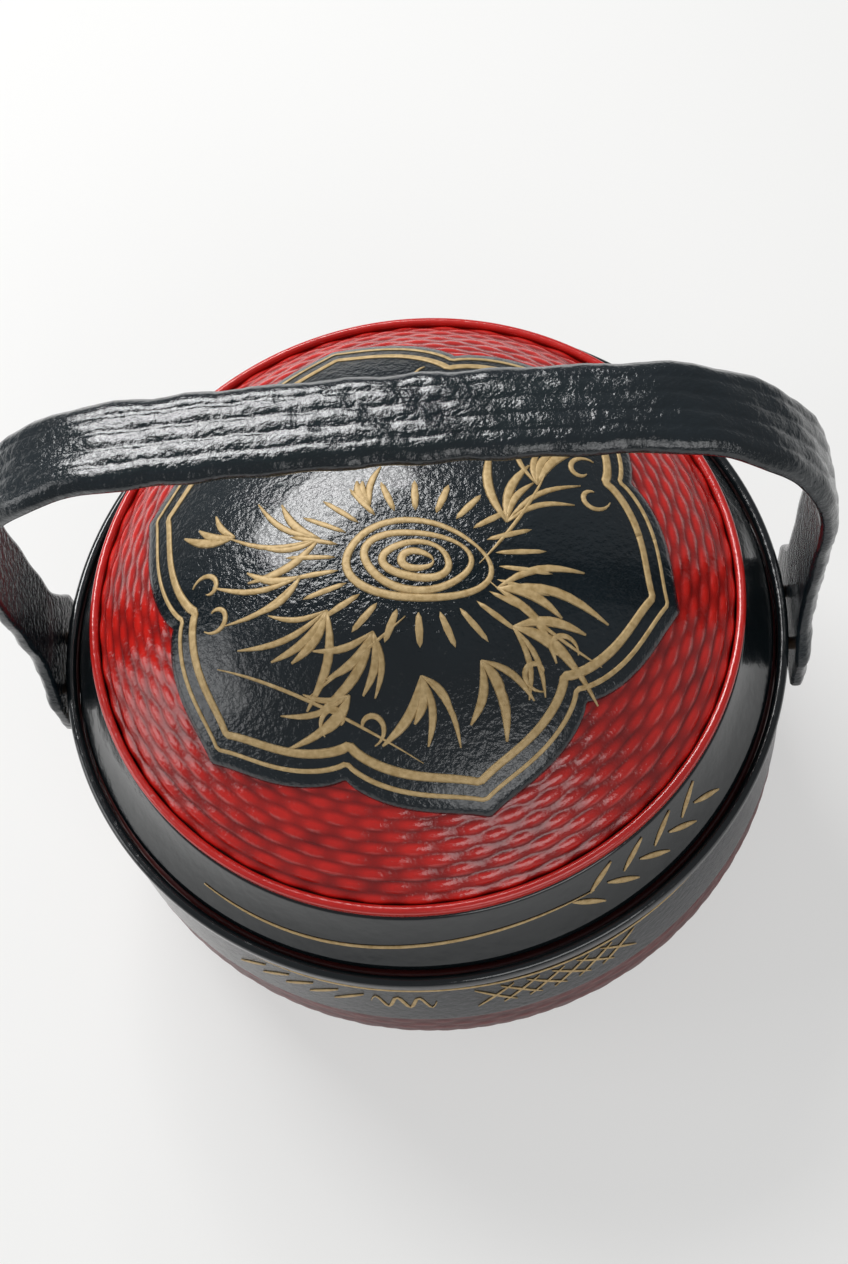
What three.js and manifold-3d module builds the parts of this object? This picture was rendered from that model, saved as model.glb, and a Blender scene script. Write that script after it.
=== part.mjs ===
// A lacquered wedding basket: a round woven bowl on a foot hoop, an arched carrying
// handle pegged to its rim, and a domed lid that lifts straight up off the mouth.
// Millimetres, +Z up, origin on the floor under the centre, +X along the handle's bar.
import * as THREE from 'three';
import { mergeVertices } from 'three/addons/utils/BufferGeometryUtils.js';
import Module from 'manifold-3d';

const wasm = await Module();
wasm.setup();

// Clearance between pieces that touch
const fit = 0.3;

// Bowl
const mouthRadius = 122.5;
const mouthHeight = 108;
const bellyRadius = 128.3;
const bellyHeight = 52;
const wallThickness = 3;
const footRadius = 88;
const footHeight = 10;
const footThickness = 6;
const floorThickness = 3;

// Hoops round the mouth
const rimHoopThickness = 3.7;
const rimHoopHeight = 7;
const rimHoopTop = 113;
const mouthHoopDepth = 16;
const mouthHoopThickness = 3.2;
const seatRise = 8;

// Lid
const skirtInset = 1.3;
const lidTaper = 11.2;
const skirtHeight = 21.5;
const skirtThickness = 2.4;
const domeRise = 48;
const domePower = 2.5;
const domeThickness = 2.6;
const edgeHoopHeight = 5;
const edgeHoopThickness = 3;
const medallionThickness = 1.8;
const medallionNotch = 76.5;
const medallionTip = 89;
const medallionLobes = 6;
const medallionTurn = THREE.MathUtils.degToRad(15.5);
const lidHoopHeight = 9;
const lidHoopThickness = 2.5;

// Handle
const strapWidth = 28;
const strapThickness = 4.3;
const strapClearance = 0.6;
const handleTop = 250;
const archRise = 2.6;
const cornerRadius = 61.8;
const legFlareWidth = 46;
const legFlareHeight = 24;
const legBottom = 92;
const caneCount = 5;
const caneThickness = 1.9;
const caneWidth = 4.8;
const caneEase = 0.6;
const pegRadius = 2.2;
const pegSpacing = 20;
const pegHeight = 99;

// The lid follows the mouth that it covers
const skirtRadius = mouthRadius - skirtInset;
const lidRadius = skirtRadius - lidTaper;

const roundSteps = 48;
const domeRings = 10;
const archSteps = 6;

const lacquer = (color, roughness = 0.28) =>
  new THREE.MeshStandardMaterial({ color, roughness, metalness: 0 });
const blackLacquer = 0x12181a;
const redLacquer = 0xa81a18;
const dullRed = 0x6e2323;
const bamboo = 0x6b4a2c;

// Turns a closed half-section of [radius, height] points into a solid of revolution.
function revolve(section) {
  const points = section.map(([r, z]) => new THREE.Vector2(r, z));
  if (THREE.ShapeUtils.area(points) < 0) points.reverse();
  points.push(points[0].clone());
  return new THREE.LatheGeometry(points, roundSteps).rotateX(Math.PI / 2);
}

// Both faces of a wall: the outer face from bottom to top, then the inner one back.
function wallSection(face, thickness) {
  const inner = face.map(([r, z], i) => {
    const before = face[Math.max(i - 1, 0)];
    const after = face[Math.min(i + 1, face.length - 1)];
    const along = new THREE.Vector2(after[0] - before[0], after[1] - before[1]).normalize();
    return [r - along.y * thickness, z + along.x * thickness];
  });
  return [...face, ...inner.reverse()];
}

// A hoop's section, with its four corners eased.
function hoop(inner, outer, bottom, top) {
  const ease = Math.min(outer - inner, top - bottom) * 0.3;
  return revolve([
    [inner, bottom + ease], [inner + ease, bottom], [outer - ease, bottom], [outer, bottom + ease],
    [outer, top - ease], [outer - ease, top], [inner + ease, top], [inner, top - ease],
  ]);
}

function toSolid(geometry) {
  const bare = new THREE.BufferGeometry();
  bare.setAttribute('position', geometry.getAttribute('position').clone());
  if (geometry.index) bare.setIndex(geometry.index.clone());
  const merged = mergeVertices(bare, 1e-4);
  const corners = merged.index.array;
  const kept = [];
  for (let i = 0; i < corners.length; i += 3) {
    const [a, b, c] = corners.slice(i, i + 3);
    if (a !== b && b !== c && c !== a) kept.push(a, b, c);
  }
  return new wasm.Manifold(new wasm.Mesh({
    numProp: 3,
    vertProperties: new Float32Array(merged.getAttribute('position').array),
    triVerts: new Uint32Array(kept),
  }));
}

function toGeometry(solid) {
  const mesh = solid.getMesh();
  const geometry = new THREE.BufferGeometry();
  geometry.setAttribute('position', new THREE.BufferAttribute(new Float32Array(mesh.vertProperties), 3));
  geometry.setIndex(new THREE.BufferAttribute(new Uint32Array(mesh.triVerts), 1));
  geometry.computeVertexNormals();
  return geometry;
}

const group = new THREE.Group();
function add(name, geometry, material) {
  const mesh = new THREE.Mesh(geometry, material);
  mesh.name = name;
  group.add(mesh);
}

// The bowl's outside, curving in below the belly to the foot
const bowlBottom = footHeight + fit;
const bowlBottomRadius = footRadius - footThickness - fit;
function bowlFace() {
  const lower = new THREE.CubicBezierCurve(
    new THREE.Vector2(bowlBottomRadius, bowlBottom),
    new THREE.Vector2(bowlBottomRadius + 22, bowlBottom + 0.4),
    new THREE.Vector2(bellyRadius, bellyHeight - 26),
    new THREE.Vector2(bellyRadius, bellyHeight),
  );
  const face = lower.getPoints(9).map((p) => [p.x, p.y]);
  face.push([(bellyRadius + mouthRadius) / 2 + 0.8, (bellyHeight + mouthHeight) / 2]);
  face.push([mouthRadius, mouthHeight]);
  return face;
}
const bowlFacePoints = bowlFace();

// Pegs through each leg and the wall, and the same holes a little wider
const rimHoopRadius = mouthRadius + fit + rimHoopThickness;
const strapInside = rimHoopRadius + strapClearance;
const strapOutside = strapInside + strapThickness;
const pegEnd = strapOutside;
const pegStart = mouthRadius - wallThickness + 2;
function peg(side, y, radius, reach) {
  const length = pegEnd - pegStart + 2 * reach;
  const middle = (pegEnd + pegStart) / 2;
  const rod = new THREE.CylinderGeometry(radius, radius, length, 16);
  return rod.rotateZ(Math.PI / 2).translate(side * middle, y, pegHeight);
}
function withPegHoles(geometry) {
  let solid = toSolid(geometry);
  for (const side of [-1, 1]) {
    for (const y of [-pegSpacing / 2, pegSpacing / 2]) {
      solid = solid.subtract(toSolid(peg(side, y, pegRadius + fit, 12)));
    }
  }
  return toGeometry(solid);
}

function addBowl() {
  const wall = revolve(wallSection(bowlFacePoints, wallThickness));
  add('basket_wall', withPegHoles(wall), lacquer(dullRed, 0.5));
  add('foot_hoop', hoop(footRadius - footThickness, footRadius, 0, footHeight), lacquer(blackLacquer));
  const floorRadius = footRadius - footThickness - fit;
  const floorBottom = footHeight - floorThickness;
  const floorSection = [
    [0, floorBottom], [floorRadius, floorBottom],
    [floorRadius, footHeight], [0, footHeight],
  ];
  add('basket_floor', revolve(floorSection), lacquer(redLacquer, 0.5));
  const rim = hoop(mouthRadius + fit, rimHoopRadius, rimHoopTop - rimHoopHeight, rimHoopTop);
  add('rim_hoop', rim, lacquer(blackLacquer));
}

// The tapered hoop inside the mouth, which centres the lid
const skirtBottom = rimHoopTop + fit;
const skirtTop = skirtBottom + skirtHeight;
const skirtSlope = (skirtRadius - lidRadius) / skirtHeight;
function addMouthHoop() {
  const outer = mouthRadius - wallThickness - fit;
  const shoulder = mouthHeight;
  const seatOuter = skirtRadius - skirtThickness * 1.2 - fit - skirtSlope * seatRise - 1;
  const seatTop = skirtBottom + seatRise;
  const bottom = shoulder - mouthHoopDepth + 8;
  add('mouth_hoop', revolve([
    [outer - mouthHoopThickness, bottom], [outer, bottom], [outer, shoulder],
    [seatOuter, seatTop], [seatOuter - mouthHoopThickness, seatTop],
    [outer - mouthHoopThickness - 2, shoulder - 2],
  ]), lacquer(blackLacquer));
}

const domeBase = skirtTop + fit;
const domeHeight = (r) => domeBase + domeRise * (1 - (r / lidRadius) ** domePower);

function domeFace(rings, edge, lift) {
  const face = [];
  for (let i = 0; i <= rings; i += 1) {
    const r = edge * (1 - i / rings);
    const slope = (domeRise * domePower / lidRadius) * (r / lidRadius) ** (domePower - 1);
    const out = 1 / Math.hypot(1, slope);
    face.push([r === 0 ? 0 : r + lift * slope * out, domeHeight(r) + lift * out]);
  }
  return face;
}

// A shell between two levels of the dome, closed on the axis
function domeLayer(edge, from, to, rings) {
  const upper = domeFace(rings, edge, to);
  const lower = domeFace(rings, edge, from);
  const points = [...upper, ...lower.reverse()].map(([r, z]) => new THREE.Vector2(r, z));
  if (THREE.ShapeUtils.area(points) < 0) points.reverse();
  points.push(points[0].clone());
  return new THREE.LatheGeometry(points, roundSteps).rotateX(Math.PI / 2);
}

// Six ogee lobes: round shoulders that draw up to a point
function medallionOutline() {
  const outline = new THREE.Shape();
  const steps = medallionLobes * 16;
  for (let i = 0; i < steps; i += 1) {
    const turn = (i / steps) * medallionLobes;
    const toTip = 1 - Math.abs((turn % 1) * 2 - 1);
    const swell = 0.72 * Math.sin((toTip * Math.PI) / 2) ** 0.7 + 0.28 * toTip ** 6;
    const r = medallionNotch + (medallionTip - medallionNotch) * swell;
    const angle = medallionTurn + (i / steps) * 2 * Math.PI;
    if (i === 0) outline.moveTo(r * Math.cos(angle), r * Math.sin(angle));
    else outline.lineTo(r * Math.cos(angle), r * Math.sin(angle));
  }
  outline.closePath();
  return outline;
}

function addLid() {
  const shellEdge = lidRadius - edgeHoopThickness - fit;
  add('lid_dome', domeLayer(shellEdge, -domeThickness, 0, domeRings), lacquer(redLacquer));
  const layer = toSolid(domeLayer(shellEdge, fit, fit + medallionThickness, domeRings));
  const cutter = new THREE.ExtrudeGeometry(medallionOutline(), { depth: 2 * domeRise, bevelEnabled: false });
  cutter.translate(0, 0, domeBase);
  add('lid_medallion', toGeometry(layer.intersect(toSolid(cutter))), lacquer(blackLacquer));
  add('lid_edge_hoop', hoop(lidRadius - edgeHoopThickness, lidRadius, domeBase, domeBase + edgeHoopHeight),
    lacquer(redLacquer));
  add('lid_skirt', revolve(wallSection([[skirtRadius, skirtBottom], [lidRadius, skirtTop]], skirtThickness)),
    lacquer(blackLacquer));
  const hoopOuter = lidRadius - skirtThickness - fit - 0.6;
  add('lid_inner_hoop', hoop(hoopOuter - lidHoopThickness, hoopOuter, skirtTop - lidHoopHeight, skirtTop - 1),
    lacquer(dullRed, 0.5));
}

// The arch seen from the front, moved out by an offset: leg, corner, bar, corner, leg
function archPoints(offset) {
  const half = strapOutside + offset;
  const radius = cornerRadius + offset;
  const shoulder = handleTop - fit - caneThickness - archRise + offset;
  const path = new THREE.Path();
  path.moveTo(-half, legBottom);
  path.lineTo(-half, shoulder - radius);
  path.absarc(-half + radius, shoulder - radius, radius, Math.PI, Math.PI / 2, true);
  path.quadraticCurveTo(0, shoulder + 2 * archRise, half - radius, shoulder);
  path.absarc(half - radius, shoulder - radius, radius, Math.PI / 2, 0, true);
  path.lineTo(half, legBottom);
  return path.getPoints(archSteps);
}

// The strap's front outline cut by its side outline, which flares at the rim
function addStrap() {
  const arch = new THREE.Shape([...archPoints(0), ...archPoints(-strapThickness).reverse()]);
  const slab = new THREE.ExtrudeGeometry(arch, { depth: 2 * legFlareWidth, bevelEnabled: false });
  slab.rotateX(Math.PI / 2).translate(0, legFlareWidth, 0);
  const side = new THREE.Shape();
  const w = strapWidth / 2;
  const f = legFlareWidth / 2;
  side.moveTo(-f, legBottom - 1);
  side.lineTo(-f, rimHoopTop - 3);
  side.quadraticCurveTo(-w, rimHoopTop, -w, rimHoopTop + legFlareHeight);
  side.lineTo(-w, handleTop + 10);
  side.lineTo(w, handleTop + 10);
  side.lineTo(w, rimHoopTop + legFlareHeight);
  side.quadraticCurveTo(w, rimHoopTop, f, rimHoopTop - 3);
  side.lineTo(f, legBottom - 1);
  side.closePath();
  const span = 2 * (strapOutside + 10);
  const cutter = new THREE.ExtrudeGeometry(side, { depth: span, bevelEnabled: false });
  cutter.rotateX(Math.PI / 2).rotateZ(Math.PI / 2).translate(-span / 2, 0, 0);
  const strap = toSolid(slab).intersect(toSolid(cutter));
  add('handle_strap', withPegHoles(toGeometry(strap)), lacquer(blackLacquer));
}

// Split canes side by side along the strap's outside, bent with the same corners
function addCanes() {
  const band = new THREE.Shape([
    ...archPoints(fit + caneThickness),
    ...archPoints(fit).reverse(),
  ]);
  const pitch = strapWidth / caneCount;
  for (let i = 0; i < caneCount; i += 1) {
    const y = (i - (caneCount - 1) / 2) * pitch;
    const cane = new THREE.ExtrudeGeometry(band, {
      depth: caneWidth - 2 * caneEase,
      bevelThickness: caneEase,
      bevelSize: caneEase / 2,
      bevelOffset: -caneEase / 2,
      bevelSegments: 1,
    });
    cane.rotateX(Math.PI / 2).translate(0, y + caneWidth / 2 - caneEase, 0);
    add(`handle_cane_${i + 1}`, cane, lacquer(blackLacquer));
  }
}

function addPegs() {
  const places = [[-1, -1], [-1, 1], [1, -1], [1, 1]];
  places.forEach(([side, half], i) => {
    add(`handle_peg_${i + 1}`, peg(side, (half * pegSpacing) / 2, pegRadius, 0), lacquer(bamboo, 0.6));
  });
}

addBowl();
addMouthHoop();
addLid();
addStrap();
addCanes();
addPegs();

export default group;
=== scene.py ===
# %% [markdown]
# A lacquered wedding basket: a woven bowl, a domed lid with a lobed black crown, and an
# arched handle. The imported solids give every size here. The looks are built over them.

# %% Load the frame
import math

import bmesh
import bpy
import numpy as np
from mathutils import Matrix, Vector


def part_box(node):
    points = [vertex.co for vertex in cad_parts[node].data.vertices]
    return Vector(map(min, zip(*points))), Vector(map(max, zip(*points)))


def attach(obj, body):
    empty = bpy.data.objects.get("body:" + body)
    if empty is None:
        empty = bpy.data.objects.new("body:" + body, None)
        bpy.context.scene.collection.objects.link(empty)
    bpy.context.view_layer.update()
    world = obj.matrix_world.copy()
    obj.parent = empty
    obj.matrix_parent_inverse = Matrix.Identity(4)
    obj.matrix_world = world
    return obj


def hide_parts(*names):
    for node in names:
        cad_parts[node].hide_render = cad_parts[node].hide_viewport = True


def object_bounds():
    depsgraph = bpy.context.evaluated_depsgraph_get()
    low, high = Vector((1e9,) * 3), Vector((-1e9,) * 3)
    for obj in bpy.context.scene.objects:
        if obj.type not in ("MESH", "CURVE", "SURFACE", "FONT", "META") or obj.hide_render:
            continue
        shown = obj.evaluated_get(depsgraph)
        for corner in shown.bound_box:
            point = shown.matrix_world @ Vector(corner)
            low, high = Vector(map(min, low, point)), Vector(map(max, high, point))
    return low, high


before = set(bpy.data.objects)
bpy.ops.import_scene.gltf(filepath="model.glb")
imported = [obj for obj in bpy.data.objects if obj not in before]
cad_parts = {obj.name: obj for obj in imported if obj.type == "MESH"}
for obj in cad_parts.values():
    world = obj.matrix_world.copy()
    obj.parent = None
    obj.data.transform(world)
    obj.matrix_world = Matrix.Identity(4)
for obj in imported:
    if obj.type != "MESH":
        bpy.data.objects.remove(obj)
cad_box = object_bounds()
MM = 0.001
print("solids:", cad_box)

# %% [markdown]
# The camera stands high in front, turned a little to the right and rolled. Its place was
# worked out once from the lid's rim, the skirt and the handle, as real distances.

# %% Camera
AZIMUTH, ELEVATION, ROLL = (math.radians(v) for v in (10.6, 64.9, -13.3))
DISTANCE = 530.5 * MM
TARGET = Vector((3.5, -14.3, 137.0)) * MM
LENS = 45.57

back = Vector((
    math.sin(AZIMUTH) * math.cos(ELEVATION),
    -math.cos(AZIMUTH) * math.cos(ELEVATION),
    math.sin(ELEVATION),
))
level = Vector((0, 0, 1)).cross(back).normalized()
upward = back.cross(level)
right = level * math.cos(ROLL) + upward * math.sin(ROLL)
up = upward * math.cos(ROLL) - level * math.sin(ROLL)
place = TARGET + back * DISTANCE
camera = bpy.data.objects.new("camera", bpy.data.cameras.new("camera"))
camera.data.lens = LENS
camera.data.clip_start = 0.01
camera.matrix_world = Matrix((
    (right.x, up.x, back.x, place.x),
    (right.y, up.y, back.y, place.y),
    (right.z, up.z, back.z, place.z),
    (0, 0, 0, 1),
))
bpy.context.collection.objects.link(camera)
bpy.context.scene.camera = camera
bpy.context.scene.view_settings.view_transform = "Standard"

# %% [markdown]
# Shader sums are easier to read as sums. Value wraps a socket, and an expression on values
# adds the Math nodes. Any other node comes from Finish.node.


# %% Shader expressions
class Value:
    def __init__(self, finish, socket):
        self.finish = finish
        self.socket = socket

    def sum_with(self, operation, left, right_side):
        node = self.finish.node("ShaderNodeMath", {"operation": operation}, {0: left, 1: right_side})
        return Value(self.finish, node.outputs[0])

    def __add__(self, other):
        return self.sum_with("ADD", self, other)

    __radd__ = __add__

    def __mul__(self, other):
        return self.sum_with("MULTIPLY", self, other)

    __rmul__ = __mul__

    def __sub__(self, other):
        return self.sum_with("SUBTRACT", self, other)

    def __rsub__(self, other):
        return self.sum_with("SUBTRACT", other, self)


class Finish:
    def __init__(self, name):
        self.material = bpy.data.materials.new(name)
        self.material.use_nodes = True
        self.tree = self.material.node_tree
        self.shader = self.tree.nodes["Principled BSDF"]

    def node(self, kind, settings=None, sockets=None):
        node = self.tree.nodes.new(kind)
        for key, value in (settings or {}).items():
            setattr(node, key, value)
        for key, value in (sockets or {}).items():
            self.feed(node.inputs[key], value)
        return node

    def feed(self, socket, value):
        if isinstance(value, Value):
            value = value.socket
        if isinstance(value, bpy.types.NodeSocket):
            self.tree.links.new(value, socket)
        else:
            socket.default_value = value

    def noise(self, size, detail=3.0):
        where = self.node("ShaderNodeTexCoord").outputs["Object"]
        node = self.node("ShaderNodeTexNoise", None, {"Vector": where, "Scale": 1 / size, "Detail": detail})
        return Value(self, node.outputs["Fac"])

    def attribute(self, name):
        return Value(self, self.node("ShaderNodeAttribute", {"attribute_name": name}).outputs["Fac"])

    def blend(self, mask, low, high):
        node = self.node("ShaderNodeMix", {"data_type": "RGBA"}, {0: mask, 6: low, 7: high})
        return node.outputs[2]

    def bump(self, height, distance, strength=1.0):
        node = self.node("ShaderNodeBump", None, {"Height": height, "Distance": distance, "Strength": strength})
        self.feed(self.shader.inputs["Normal"], node.outputs["Normal"])

    def set(self, **sockets):
        for key, value in sockets.items():
            self.feed(self.shader.inputs[key.replace("_", " ")], value)
        return self.material


# %% [markdown]
# Brushed lacquer is never flat: it pools round the weave and dries in soft pebbles, so the
# reflections break up. The pebbles are bump, and the depth of the colour drifts slowly.


# %% Lacquers and gold
def lacquer(name, deep, lit, pebble, height, roughness):
    finish = Finish(name)
    drift = finish.noise(22 * MM)
    grain = finish.noise(pebble)
    finish.bump(grain + 0.4 * finish.noise(pebble * 0.4), height)
    finish.shader.inputs["Coat Roughness"].default_value = 0.08
    return finish.set(Base_Color=finish.blend(drift, deep, lit), Roughness=roughness + 0.12 * grain, Coat_Weight=0.35)


def woven_lacquer(name, hollow, deep, lit, roughness):
    finish = Finish(name)
    relief = finish.attribute("relief")
    drift = finish.noise(14 * MM)
    face = finish.blend(drift, deep, lit)
    finish.bump(finish.noise(1.6 * MM), 0.25 * MM)
    # Painted shade: where the weave relief is low the colour goes to the much darker hollow colour, so the weave's
    # recesses look shaded.
    colour = finish.blend(relief + 0.35 * drift, hollow, face)
    return finish.set(Base_Color=colour, Roughness=roughness + 0.15 * (1 - relief), Coat_Weight=0.3)


def dry_gold():
    finish = Finish("gold_paint")
    drag = finish.noise(1.8 * MM)
    finish.bump(drag, 0.12 * MM)
    colour = finish.blend(1.5 * drag - 0.25, (0.36, 0.23, 0.08, 1), (0.72, 0.53, 0.27, 1))
    return finish.set(Base_Color=colour, Roughness=0.42 + 0.2 * drag, Metallic=0.15)


BLACK = lacquer("black_lacquer", (0.003, 0.006, 0.008, 1), (0.010, 0.017, 0.022, 1), 2.6 * MM, 0.55 * MM, 0.12)
SMOOTH = lacquer("smooth_black", (0.003, 0.005, 0.006, 1), (0.009, 0.012, 0.014, 1), 9 * MM, 0.3 * MM, 0.10)
RED_EDGE = lacquer("red_edge", (0.44, 0.010, 0.008, 1), (0.66, 0.022, 0.016, 1), 5 * MM, 0.3 * MM, 0.16)
DULL = lacquer("dull_red", (0.10, 0.014, 0.013, 1), (0.19, 0.028, 0.024, 1), 3 * MM, 0.3 * MM, 0.4)
BAMBOO = lacquer("bamboo_peg", (0.16, 0.08, 0.035, 1), (0.30, 0.17, 0.08, 1), 1.2 * MM, 0.1 * MM, 0.5)
# The first colour of each woven finish is painted shade for the hollows of the weave.
RED_WEAVE = woven_lacquer("red_weave", (0.08, 0.004, 0.005, 1), (0.48, 0.010, 0.008, 1), (0.72, 0.026, 0.018, 1), 0.13)
WALL = woven_lacquer("wall_weave", (0.03, 0.006, 0.006, 1), (0.12, 0.016, 0.016, 1), (0.20, 0.032, 0.028, 1), 0.35)
GOLD = dry_gold()


# %% [markdown]
# Round pieces are rings of points joined into a skin. Working in arrays keeps a woven
# surface of many thousand points quick to make.


# %% Skins from rings
def finish_mesh(name, verts, faces, material, relief=None):
    mesh = bpy.data.meshes.new(name)
    mesh.from_pydata(verts, [], faces)
    work = bmesh.new()
    work.from_mesh(mesh)
    bmesh.ops.recalc_face_normals(work, faces=work.faces)
    work.to_mesh(mesh)
    work.free()
    mesh.shade_smooth()
    mesh.materials.append(material)
    if relief is not None:
        layer = mesh.attributes.new("relief", "FLOAT", "POINT")
        layer.data.foreach_set("value", relief)
    piece = bpy.data.objects.new(name, mesh)
    bpy.context.collection.objects.link(piece)
    print(name, len(mesh.polygons), "faces")
    return piece


def ring_skin(name, rings, material, closed, relief=None):
    count, around, _ = rings.shape
    rows = np.arange(count if closed else count - 1)[:, None]
    cols = np.arange(around)[None, :]
    after = (rows + 1) % count
    beside = (cols + 1) % around
    corners = [rows * around + cols, rows * around + beside, after * around + beside, after * around + cols]
    faces = np.stack(np.broadcast_arrays(*corners), -1).reshape(-1, 4).tolist()
    verts = rings.reshape(-1, 3).tolist()
    values = None if relief is None else relief.reshape(-1).tolist()
    if not closed:
        for start in (0, (count - 1) * around):
            centre = len(verts)
            verts.append(np.mean(verts[start:start + around], 0).tolist())
            faces += [(centre, start + i, start + (i + 1) % around) for i in range(around)]
            if values is not None:
                values.append(1.0)
    return finish_mesh(name, verts, faces, material, values)


def turned_rings(section, around):
    section = np.array(section)
    angle = np.linspace(0, 2 * math.pi, around, endpoint=False)
    flat = np.stack([np.cos(angle), np.sin(angle)], -1)
    plan = section[:, 0][:, None, None] * flat[None]
    level_z = np.broadcast_to(section[:, 1][:, None, None], plan.shape[:2] + (1,))
    return np.concatenate([plan, level_z], -1)


def turned(name, section, material, around=240):
    return ring_skin(name, turned_rings(section, around), material, closed=True)


def rounded(inner, outer, bottom, top, steps=5):
    ease = min(outer - inner, top - bottom) * 0.48
    corners = [(outer - ease, top - ease, 0), (inner + ease, top - ease, 90),
               (inner + ease, bottom + ease, 180), (outer - ease, bottom + ease, 270)]
    points = []
    for r, z, start in corners:
        for i in range(steps + 1):
            turn = math.radians(start + 90 * i / steps)
            points.append((r + ease * math.cos(turn), z + ease * math.sin(turn)))
    return points


def box_section(node):
    low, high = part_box(node)
    return high[0], low[2], high[2]


# %% [markdown]
# The dome and the wall are woven from split bamboo: strands run round, and each passes over
# and under upright staves. Over and under swap from one strand to the next.


# %% Woven dome
EDGE_OUT, EDGE_LOW, EDGE_TOP = box_section("lid_edge_hoop")
DOME_RISE = 48 * MM
DOME_POWER = 2.5
STRAND = 3.8 * MM
STAVES = 46
WEAVE_DEPTH = 0.8 * MM


def dome_z(r):
    return EDGE_LOW + DOME_RISE * (1 - (r / EDGE_OUT) ** DOME_POWER)


def dome_slope(r):
    return DOME_RISE * DOME_POWER / EDGE_OUT * (r / EDGE_OUT) ** (DOME_POWER - 1)


def weave(along, angle, staves):
    strand = along / STRAND
    row = np.floor(strand)
    across = np.sin(math.pi * (strand - row)) ** 0.6
    over = 0.5 + 0.5 * np.cos(staves * angle + math.pi * row)
    uneven = 0.1 * np.sin(7 * angle + row * 1.7)
    return np.clip(across * (0.35 + 0.65 * over) + uneven, 0, 1)


around = 500
angle = np.linspace(0, 2 * math.pi, around, endpoint=False)[None, :]
shell_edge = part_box("lid_dome")[1][0]
crown_hidden = 62 * MM
radii = np.concatenate([np.linspace(1 * MM, crown_hidden, 12), np.linspace(crown_hidden, shell_edge, 84)[1:]])[:, None]
tilt = 1 / np.hypot(1, dome_slope(radii))
relief = weave(radii * 1.2, angle, STAVES) * (radii > crown_hidden)
drop = (relief - 1) * WEAVE_DEPTH
top_r = radii + drop * dome_slope(radii) * tilt
top_z = dome_z(radii) + drop * tilt
lower_r = (radii[::-1] - 2.4 * MM * dome_slope(radii[::-1]) * tilt[::-1]).clip(0.8 * MM)
lower_z = dome_z(radii[::-1]) - 2.4 * MM * tilt[::-1]
all_r = np.concatenate([top_r, np.broadcast_to(lower_r, top_r.shape)])
all_z = np.concatenate([top_z, np.broadcast_to(lower_z, top_z.shape)])
rings = np.stack([all_r * np.cos(angle), all_r * np.sin(angle), all_z], -1)
dome = ring_skin("woven_dome", rings, RED_WEAVE, closed=False,
                 relief=np.concatenate([relief, np.full(relief.shape, 0.8)]))
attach(dome, "lid")
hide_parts("lid_dome")

# %% Woven wall
BODY_MOUTH = 122.5 * MM
BODY_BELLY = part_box("basket_wall")[1][0]
wall_low, wall_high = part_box("basket_wall")
foot_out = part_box("foot_hoop")[1][0]
BELLY_Z = 52 * MM
BAND_LOW = 66 * MM
WALL_STAVES = 56


def wall_face(steps):
    start = np.array([foot_out - 6.3 * MM, wall_low[2]])
    pulls = [start, start + [22 * MM, 0.4 * MM], np.array([BODY_BELLY, BELLY_Z - 26 * MM]),
             np.array([BODY_BELLY, BELLY_Z])]
    t = np.linspace(0, 1, steps)[:, None]
    curve = ((1 - t) ** 3 * pulls[0] + 3 * (1 - t) ** 2 * t * pulls[1]
             + 3 * (1 - t) * t ** 2 * pulls[2] + t ** 3 * pulls[3])
    rise = np.linspace(0, 1, steps)[1:, None]
    bow = 0.8 * MM * np.sin(math.pi * rise)
    upper = np.concatenate([BODY_BELLY + (BODY_MOUTH - BODY_BELLY) * rise + bow,
                            BELLY_Z + (wall_high[2] - BELLY_Z) * rise], 1)
    return np.concatenate([curve, upper])


face = wall_face(46)
steps_along = np.gradient(face, axis=0)
unit = steps_along / np.linalg.norm(steps_along, axis=1, keepdims=True)
outward = np.stack([unit[:, 1], -unit[:, 0]], 1)
travel = np.concatenate([[0], np.cumsum(np.linalg.norm(np.diff(face, axis=0), axis=1))])[:, None]
wall_angle = np.linspace(0, 2 * math.pi, 500, endpoint=False)[None, :]
wall_relief = weave(travel, wall_angle, WALL_STAVES)
depth = (wall_relief - 1) * 0.6 * MM
depth = depth * np.where(face[:, 1:] > BAND_LOW, 0.25, 1)
outer_r = face[:, :1] + outward[:, :1] * depth
outer_z = face[:, 1:] + outward[:, 1:] * depth
inner = (face - outward * 2.8 * MM)[::-1]
all_r = np.concatenate([outer_r, np.broadcast_to(inner[:, :1], outer_r.shape)])
all_z = np.concatenate([outer_z, np.broadcast_to(inner[:, 1:], outer_z.shape)])
rings = np.stack([all_r * np.cos(wall_angle), all_r * np.sin(wall_angle), all_z], -1)
wall = ring_skin("woven_wall", rings, WALL, closed=True,
                 relief=np.concatenate([wall_relief, np.full(wall_relief.shape, 0.8)]))
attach(wall, "basket")
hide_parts("basket_wall")

# %% [markdown]
# The black band is a thick coat of lacquer over the wall's upper part, so it is a thin skin
# of its own with soft edges.

# %% Black band on the wall
band_face = face[(face[:, 1] > BAND_LOW) & (face[:, 1] < 106 * MM)]
band_section = np.concatenate([band_face + [0.45 * MM, 0], (band_face + [0.05 * MM, 0])[::-1]])
band = turned("black_band", band_section, BLACK)
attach(band, "basket")

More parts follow.
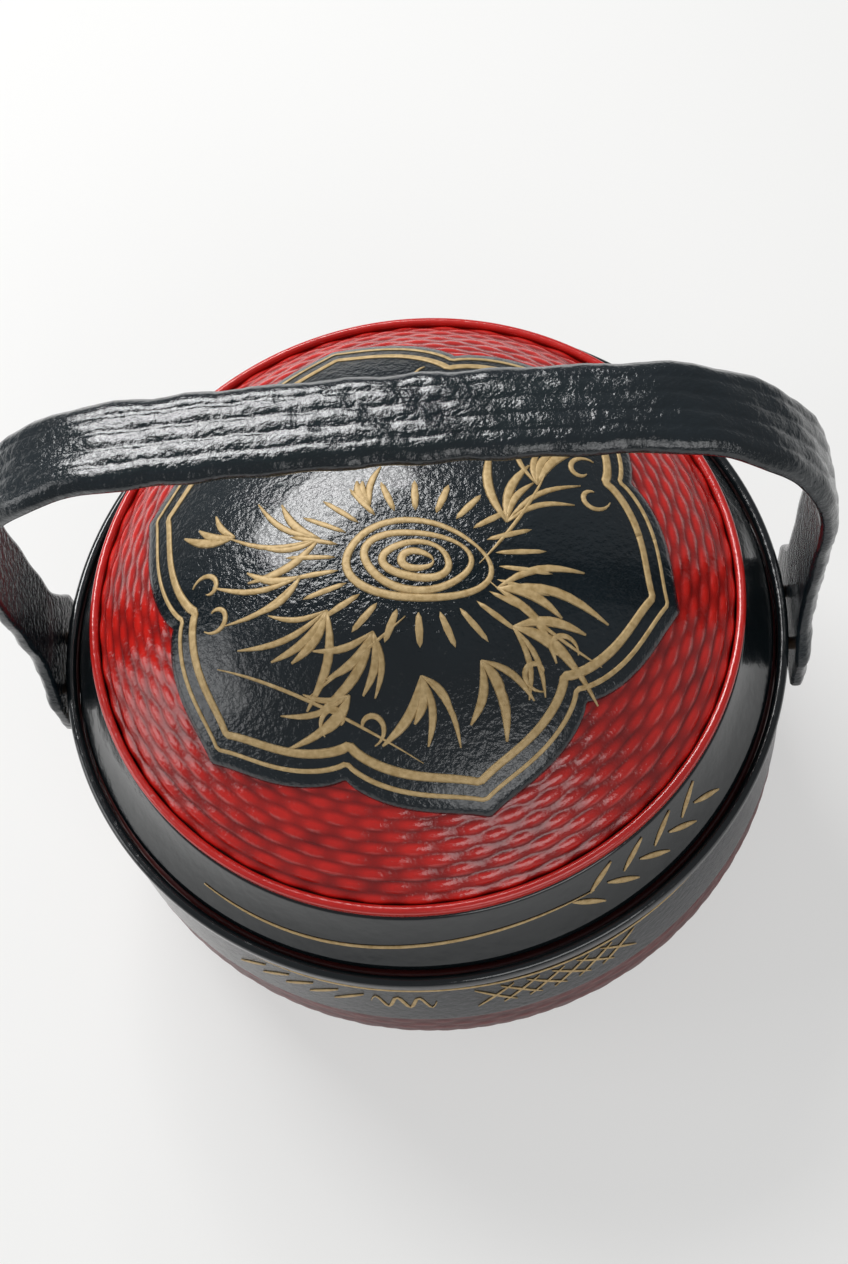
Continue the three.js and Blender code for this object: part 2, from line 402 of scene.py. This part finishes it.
# %% Hoops, skirt and rolled edge
edge = turned("rolled_edge", rounded(EDGE_OUT - 3 * MM, EDGE_OUT, EDGE_LOW, EDGE_TOP), RED_EDGE)
skirt_out, skirt_low, skirt_high = box_section("lid_skirt")
skirt_foot = skirt_low + 1.1 * MM
skirt_top_r = EDGE_OUT
flare = np.linspace(0, 1, 16)[:, None]
hollow = 1.1 * MM * np.sin(math.pi * flare)
skirt_face = np.concatenate([skirt_out + (skirt_top_r - skirt_out) * flare - hollow,
                             skirt_foot + (skirt_high - skirt_foot) * flare], 1)
skirt_section = np.concatenate([skirt_face, (skirt_face - [2.0 * MM, 0.5 * MM])[::-1]])
skirt = turned("skirt_lacquer", skirt_section, SMOOTH)
rim_out, rim_low, rim_top = box_section("rim_hoop")
rim = turned("rim_bead", rounded(BODY_MOUTH + 0.3 * MM, rim_out, rim_low, rim_top), SMOOTH)
foot = turned("foot_ring", rounded(foot_out - 6 * MM, foot_out, 0, 10 * MM), BLACK)
for piece, body, node, slot in (
    (edge, "lid", "lid_edge_hoop", "red_lacquer"),
    (skirt, "lid", "lid_skirt", "black_lacquer"),
    (rim, "basket", "rim_hoop", "black_lacquer"),
    (foot, "basket", "foot_hoop", "black_lacquer"),
):
    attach(piece, body)
    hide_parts(node)

# %% [markdown]
# The crown is a second skin of lacquer on the dome, cut to six ogee lobes. A polar sheet
# follows both its outline and the dome below it.

# %% Lobed crown
LOBES = 6
NOTCH, TIP = 76.5 * MM, 89 * MM
CROWN_TURN = math.radians(15.5)
CROWN_LIFT = 2.1 * MM


def crown_radius(theta):
    turn = (theta - CROWN_TURN) / (2 * math.pi) * LOBES
    to_tip = 1 - np.abs((turn % 1) * 2 - 1)
    swell = 0.72 * np.sin(to_tip * math.pi / 2) ** 0.7 + 0.28 * to_tip ** 6
    return NOTCH + (TIP - NOTCH) * swell


def crown_point(x, y, lift=0.0):
    r = np.hypot(x, y)
    return np.stack([x, y, dome_z(r) + (CROWN_LIFT + lift) * np.hypot(1, dome_slope(r))], -1)


theta = np.linspace(0, 2 * math.pi, 480, endpoint=False)
outline = crown_radius(theta)
shares = np.concatenate([[0.02], np.linspace(0.1, 0.985, 34), [1.0]])
top = [crown_point(s * outline * np.cos(theta), s * outline * np.sin(theta)) for s in shares]
top[-1][:, 2] -= 0.7 * MM
under = [crown_point(s * outline * np.cos(theta), s * outline * np.sin(theta), -1.8 * MM) for s in shares[::-1]]
crown = ring_skin("lobed_crown", np.stack(top + under), BLACK, closed=False)
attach(crown, "lid")
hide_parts("lid_medallion")

# %% [markdown]
# The handle is bent bamboo with split canes along its back, all under one coat of lacquer.
# The coat is swept along the arch, with shallow ridges over the canes and uneven edges.

# %% Handle
HALF_SPAN = cad_box[1][0] if len(cad_box) == 2 else 133.6 * MM
HANDLE_TOP = 250 * MM
ARCH_RISE = 2.6 * MM
CORNER = 64 * MM
LEG_LOW = 92 * MM
STRAP = 28 * MM
STRAP_DEPTH = 6.4 * MM
FLARE = 46 * MM
CANES = 5


def arch(steps):
    shoulder = HANDLE_TOP - ARCH_RISE - CORNER
    quarter = np.linspace(0, math.pi / 2, steps)
    left_x = -HALF_SPAN + CORNER - CORNER * np.cos(quarter)
    left_z = shoulder + CORNER * np.sin(quarter)
    leg = np.linspace(LEG_LOW, shoulder, steps + 8)[:-1]
    bar_x = np.linspace(left_x[-1], 0, steps)[1:]
    bar_z = HANDLE_TOP - ARCH_RISE * (bar_x / left_x[-1]) ** 2
    half_x = np.concatenate([np.full(leg.shape, -HALF_SPAN), left_x, bar_x])
    half_z = np.concatenate([leg, left_z, bar_z])
    return np.stack([np.concatenate([half_x, -half_x[-2::-1]]), np.concatenate([half_z, half_z[-2::-1]])], 1)


route = arch(30)
heading = np.gradient(route, axis=0)
heading /= np.linalg.norm(heading, axis=1, keepdims=True)
away = np.stack([-heading[:, 1], heading[:, 0]], 1)
near_rim = np.clip((137 * MM - route[:, 1]) / (27 * MM), 0, 1)
width = STRAP + (FLARE - STRAP) * near_rim ** 2.2
travel = np.arange(len(route))
across = []
for i in range(41):
    across.append((-1 + i / 20, 1.0))
for i in range(1, 6):
    across.append((1.0, 1 - i / 6))
for i in range(21):
    across.append((1 - i / 10, 0.0))
for i in range(1, 6):
    across.append((-1.0, i / 6))
rings = []
for i, (middle, side) in enumerate(zip(route, away)):
    ring = []
    for a, b in across:
        ridge = 0.3 * MM * abs(math.cos(math.pi * CANES * (a + 1) / 2 + math.pi / 2)) ** 0.6
        edge_ease = 1.5 * MM * abs(a) ** 8
        wobble = 0.22 * MM * math.sin(i * 0.9 + 5 * a) + 0.16 * MM * math.sin(i * 2.3 - 3 * a)
        height_out = b * (STRAP_DEPTH - 0.9 * MM + ridge - edge_ease + wobble)
        reach = a * (width[i] / 2 + 0.35 * MM * math.sin(i * 0.7) - 1.0 * MM * abs(2 * b - 1) ** 4)
        offset = height_out - STRAP_DEPTH
        ring.append((middle[0] + side[0] * offset, reach, middle[1] + side[1] * offset))
    rings.append(ring)
handle = ring_skin("handle_coat", np.array(rings), BLACK, closed=False)
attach(handle, "basket")
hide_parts("handle_strap", *[f"handle_cane_{i + 1}" for i in range(CANES)])

# %% [markdown]
# The gold is loaded brushwork: each stroke swells and tapers, and stands a little proud.
# A stroke is a flat closed ribbon on the surface that it is painted on.


# %% Brush strokes
class Brush:
    def __init__(self):
        self.verts = []
        self.faces = []

    def stroke(self, points, normals, width, taper=True):
        points = np.array(points)
        normals = np.array(normals)
        run = np.gradient(points, axis=0)
        run /= np.linalg.norm(run, axis=1, keepdims=True) + 1e-12
        side = np.cross(run, normals)
        side /= np.linalg.norm(side, axis=1, keepdims=True) + 1e-12
        t = np.linspace(0, 1, len(points))[:, None]
        load = np.sin(math.pi * np.clip(t, 0.03, 0.97)) ** 0.6 if taper else 0.9 + 0.1 * np.sin(37 * t)
        half = width / 2 * load
        thick = 0.28 * MM
        section = [(-1, 0), (-0.6, 1), (0.6, 1), (1, 0), (0, -0.4)]
        start = len(self.verts)
        for i in range(len(points)):
            for a, b in section:
                self.verts.append((points[i] + side[i] * half[i] * a + normals[i] * thick * b).tolist())
        n = len(section)
        for i in range(len(points) - 1):
            for k in range(n):
                a = start + i * n + k
                b = start + i * n + (k + 1) % n
                self.faces.append((a, b, b + n, a + n))
        self.faces.append(tuple(start + k for k in range(n)))
        last = start + (len(points) - 1) * n
        self.faces.append(tuple(last + k for k in reversed(range(n))))

    def piece(self, name, body):
        piece = finish_mesh(name, self.verts, self.faces, GOLD)
        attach(piece, body)
        return piece


def dome_normals(points):
    r = np.hypot(points[:, 0], points[:, 1]) + 1e-9
    slope = dome_slope(r)
    out = np.stack([points[:, 0] / r * slope, points[:, 1] / r * slope, np.ones_like(r)], 1)
    return out / np.linalg.norm(out, axis=1, keepdims=True)


def on_crown(brush, x, y, width, taper=True):
    points = crown_point(np.array(x), np.array(y), 0.05 * MM)
    brush.stroke(points, dome_normals(points), width, taper)


def leaf(brush, x, y, heading_deg, length, width):
    t = np.linspace(0, 1, 9)
    turn = math.radians(heading_deg)
    bend = 0.12 * length * np.sin(math.pi * t)
    px = x + length * t * math.cos(turn) - bend * math.sin(turn)
    py = y + length * t * math.sin(turn) + bend * math.cos(turn)
    on_crown(brush, px, py, width)


# %% Crown border
border = Brush()
for inset, line in ((4.0 * MM, 1.7 * MM), (8.8 * MM, 3.1 * MM)):
    ring_angle = np.linspace(0, 2 * math.pi, 361)
    r = crown_radius(ring_angle) - inset
    on_crown(border, r * np.cos(ring_angle), r * np.sin(ring_angle), line, taper=False)
for lobe in range(LOBES):
    notch_angle = CROWN_TURN + lobe * 2 * math.pi / LOBES
    for hand in (-1, 1):
        t = np.linspace(0, 1, 18)
        curl = hand * (0.5 + 4.6 * t)
        size = 5.2 * MM * (1 - 0.62 * t)
        centre_r = NOTCH - 14 * MM
        centre_turn = notch_angle + hand * 0.085
        cx, cy = centre_r * math.cos(centre_turn), centre_r * math.sin(centre_turn)
        on_crown(border, cx + size * np.cos(notch_angle + curl), cy + size * np.sin(notch_angle + curl), 1.9 * MM)
border.piece("gold_border", "lid")

# %% [markdown]
# The flower is scribbled ovals with short petals round it. The petals repeat round a ring,
# so Geometry Nodes places them, and the ring is then laid over the dome.

# %% Flower
FLOWER_X, FLOWER_Y = 6 * MM, -12 * MM
OVAL_X, OVAL_Y = 22 * MM, 13 * MM
flower = Brush()
for share, loops in ((1.0, 1.15), (0.74, 1.2), (0.46, 1.3), (0.22, 1.0)):
    t = np.linspace(0, loops * 2 * math.pi, 60)
    uneven = 1 + 0.05 * np.sin(3 * t + share * 9)
    x = FLOWER_X + OVAL_X * share * uneven * np.cos(t)
    y = FLOWER_Y + OVAL_Y * share * uneven * np.sin(t) - 0.12 * (x - FLOWER_X)
    on_crown(flower, x, y, 2.8 * MM)
flower.piece("gold_flower", "lid")


def petal_tree():
    tree = bpy.data.node_groups.new("petal_ring", "GeometryNodeTree")
    sockets = tree.interface
    sockets.new_socket("Geometry", in_out="OUTPUT", socket_type="NodeSocketGeometry")
    count = sockets.new_socket("Petals", in_out="INPUT", socket_type="NodeSocketInt")
    ring = sockets.new_socket("Ring radius", in_out="INPUT", socket_type="NodeSocketFloat")
    size = sockets.new_socket("Petal size", in_out="INPUT", socket_type="NodeSocketVector")
    nodes, links = tree.nodes, tree.links
    given = nodes.new("NodeGroupInput")
    circle = nodes.new("GeometryNodeMeshCircle")
    ball = nodes.new("GeometryNodeMeshUVSphere")
    ball.inputs["Segments"].default_value = 8
    ball.inputs["Rings"].default_value = 5
    turn = nodes.new("FunctionNodeAlignRotationToVector")
    turn.axis = "X"
    put = nodes.new("GeometryNodeInstanceOnPoints")
    real = nodes.new("GeometryNodeRealizeInstances")
    paint = nodes.new("GeometryNodeSetMaterial")
    paint.inputs["Material"].default_value = GOLD
    result = nodes.new("NodeGroupOutput")
    links.new(given.outputs["Petals"], circle.inputs["Vertices"])
    links.new(given.outputs["Ring radius"], circle.inputs["Radius"])
    links.new(nodes.new("GeometryNodeInputPosition").outputs[0], turn.inputs["Vector"])
    links.new(circle.outputs[0], put.inputs["Points"])
    links.new(ball.outputs[0], put.inputs["Instance"])
    links.new(turn.outputs[0], put.inputs["Rotation"])
    links.new(given.outputs["Petal size"], put.inputs["Scale"])
    links.new(put.outputs[0], real.inputs[0])
    links.new(real.outputs[0], paint.inputs[0])
    links.new(paint.outputs[0], result.inputs[0])
    return tree, count, ring, size


tree, count_socket, ring_socket, size_socket = petal_tree()
carrier = bpy.data.objects.new("petal_carrier", bpy.data.meshes.new("petal_carrier"))
bpy.context.collection.objects.link(carrier)
modifier = carrier.modifiers.new("petals", "NODES")
modifier.node_group = tree
modifier[count_socket.identifier] = 24
modifier[ring_socket.identifier] = OVAL_X + 11 * MM
modifier[size_socket.identifier] = (8.5 * MM, 1.3 * MM, 0.3 * MM)
evaluated = carrier.evaluated_get(bpy.context.evaluated_depsgraph_get())
petal_mesh = bpy.data.meshes.new_from_object(evaluated)
bpy.data.objects.remove(carrier)
coords = np.zeros(len(petal_mesh.vertices) * 3)
petal_mesh.vertices.foreach_get("co", coords)
coords = coords.reshape(-1, 3)
x = FLOWER_X + coords[:, 0]
y = FLOWER_Y + coords[:, 1] * 0.68 - 0.12 * coords[:, 0]
laid = crown_point(x, y, 0.1 * MM)
laid[:, 2] += coords[:, 2]
petal_mesh.vertices.foreach_set("co", laid.reshape(-1))
petal_mesh.shade_smooth()
petals = bpy.data.objects.new("gold_petals", petal_mesh)
bpy.context.collection.objects.link(petals)
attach(petals, "lid")
print("petals", len(petal_mesh.polygons), "faces")

# %% [markdown]
# Sprays of leaves fill the crown round the flower. Each spray is a root, a direction and a
# number of leaves, and the leaves fan out from it.

# %% Leaf sprays
SPRAYS = (
    (-24, -2, 165, 5, 20), (-30, -14, 190, 4, 20), (-22, -26, 215, 5, 19), (-8, -34, 235, 5, 18),
    (-16, -52, 200, 4, 16), (6, -48, 275, 5, 15), (30, -22, -20, 4, 22), (34, -34, -45, 5, 20),
    (24, -44, -70, 4, 15), (34, 0, 55, 5, 18), (44, 14, 75, 4, 14), (-8, 8, 100, 3, 9), (-52, 4, 150, 3, 12),
)
leaves = Brush()
for x, y, heading_deg, number, length in SPRAYS:
    for i in range(number):
        fan = (i - (number - 1) / 2) * 19 + 5 * math.sin(3 * i + x)
        reach = length * (1.25 + 0.35 * math.sin(2.1 * i + y)) * MM
        leaf(leaves, x * MM, y * MM, heading_deg + fan, reach, (2.6 + 0.7 * math.cos(i + x)) * MM)
STEMS = (((-58, -38), (-31, -51), (5, -72)), ((-30, -52), (-14, -42), (2, -30)),
         ((25, -14), (38, 2), (47, 19)), ((28, -20), (44, -34), (60, -44)))
for stem in STEMS:
    a, b, c = (np.array(p) * MM for p in stem)
    t = np.linspace(0, 1, 16)[:, None]
    bow = (1 - t) ** 2 * a + 2 * (1 - t) * t * (2 * b - (a + c) / 2) + t ** 2 * c
    on_crown(leaves, bow[:, 0], bow[:, 1], 1.3 * MM)
leaves.piece("gold_leaves", "lid")


# %% Lines on the skirt and the band
def on_turned(brush, degrees, share, section, width, taper=True):
    turn = np.radians(np.array(degrees, float))
    place_along = np.array(share, float) * (len(section) - 1)
    r = np.interp(place_along, np.arange(len(section)), section[:, 0])
    z = np.interp(place_along, np.arange(len(section)), section[:, 1])
    rise = section[-1] - section[0]
    out = np.array([rise[1], -rise[0]]) / np.hypot(*rise)
    normals = np.stack([out[0] * np.cos(turn), out[0] * np.sin(turn), np.full(turn.shape, out[1])], 1)
    points = np.stack([r * np.cos(turn), r * np.sin(turn), z], 1) + normals * 0.12 * MM
    brush.stroke(points, normals, width, taper)


skirt_gold = Brush()
span = np.linspace(-128, -62, 60)
on_turned(skirt_gold, span, 0.42 + 0.1 * np.sin(np.radians(span * 4)), skirt_face, 1.5 * MM)
for i in range(9):
    start = -66 + 3.2 * i
    lean = 0.34 if i % 2 else -0.26
    on_turned(skirt_gold, np.linspace(start, start + 5, 8), np.linspace(0.5, 0.5 + lean, 8), skirt_face, 2.4 * MM)
skirt_gold.piece("gold_skirt_line", "lid")

band_gold = Brush()
band_line = band_face + [0.45 * MM, 0]
full_turn = np.linspace(-180, -10, 200)
on_turned(band_gold, full_turn, 0.78 + 0.02 * np.sin(np.radians(full_turn * 7)), band_line, 1.4 * MM)
for start in np.arange(-122, -104, 4.0):
    on_turned(band_gold, np.linspace(start, start + 5, 8), np.linspace(0.38, 0.62, 8), band_line, 1.8 * MM)
for i in range(6):
    start = -84 + 4.0 * i
    on_turned(band_gold, np.linspace(start, start + 6, 8), np.linspace(0.3, 0.7, 8), band_line, 1.3 * MM)
    on_turned(band_gold, np.linspace(start + 6, start, 8), np.linspace(0.3, 0.7, 8), band_line, 1.3 * MM)
zig = np.linspace(-100, -90, 25)
on_turned(band_gold, zig, 0.5 + 0.12 * np.sin((zig + 100) * 1.9), band_line, 1.5 * MM)
band_gold.piece("gold_band", "basket")

# %% Finishes on the solids that stay
for node, material in (
    ("basket_floor", DULL), ("mouth_hoop", SMOOTH), ("lid_inner_hoop", DULL),
    ("handle_peg_1", BAMBOO), ("handle_peg_2", BAMBOO), ("handle_peg_3", BAMBOO), ("handle_peg_4", BAMBOO),
):
    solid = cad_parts[node]
    for slot in solid.material_slots:
        slot.material = material

# %% [markdown]
# A pale floor and soft lamps. Lacquer shows mostly what it reflects, so one broad lamp sits
# behind the handle to draw the broken highlight along its bar.

# %% Floor, lamps and world
floor_mesh = bpy.data.meshes.new("floor")
FLOOR = 6.0
floor_mesh.from_pydata([(-FLOOR, -FLOOR, 0), (FLOOR, -FLOOR, 0), (FLOOR, FLOOR, 0), (-FLOOR, FLOOR, 0)],
                       [], [(0, 1, 2, 3)])
floor = bpy.data.objects.new("floor", floor_mesh)
bpy.context.collection.objects.link(floor)
paper = Finish("floor_paper")
paper.set(Base_Color=(0.86, 0.855, 0.84, 1), Roughness=0.8)
direct = Value(paper, paper.node("ShaderNodeLightPath").outputs["Is Camera Ray"])
glow = paper.node("ShaderNodeEmission", None, {"Color": (0.94, 0.94, 0.93, 1), "Strength": 1.0})
seen_floor = paper.node("ShaderNodeMixShader", None,
                        {0: 0.5 * direct, 1: paper.shader.outputs[0], 2: glow.outputs[0]})
paper.tree.links.new(seen_floor.outputs[0], paper.tree.nodes["Material Output"].inputs["Surface"])
floor_mesh.materials.append(paper.material)


def lamp(name, place_at, aim, size, watts):
    light = bpy.data.lights.new(name, "AREA")
    light.shape = "RECTANGLE"
    light.size, light.size_y = size
    light.energy = watts
    holder = bpy.data.objects.new(name, light)
    holder.location = place_at
    holder.rotation_euler = (Vector(aim) - Vector(place_at)).to_track_quat("-Z", "Y").to_euler()
    bpy.context.collection.objects.link(holder)


lamp("window", (-0.45, 0.75, 1.15), (0, 0, 0.15), (0.8, 0.4), 16)
lamp("front_fill", (0.5, -1.1, 0.9), (0, 0, 0.1), (0.9, 0.6), 5)
lamp("left_fill", (-1.2, -0.1, 0.6), (0, 0, 0.1), (0.5, 0.8), 3)

world = bpy.data.worlds.new("studio")
bpy.context.scene.world = world
world.use_nodes = True
air = world.node_tree
surround = air.nodes["Background"]
surround.inputs["Color"].default_value = (0.78, 0.80, 0.83, 1)
surround.inputs["Strength"].default_value = 0.3
white = air.nodes.new("ShaderNodeBackground")
white.inputs["Color"].default_value = (0.90, 0.90, 0.89, 1)
seen = air.nodes.new("ShaderNodeLightPath")
choose = air.nodes.new("ShaderNodeMixShader")
air.links.new(seen.outputs["Is Camera Ray"], choose.inputs[0])
air.links.new(surround.outputs[0], choose.inputs[1])
air.links.new(white.outputs[0], choose.inputs[2])
air.links.new(choose.outputs[0], air.nodes["World Output"].inputs["Surface"])
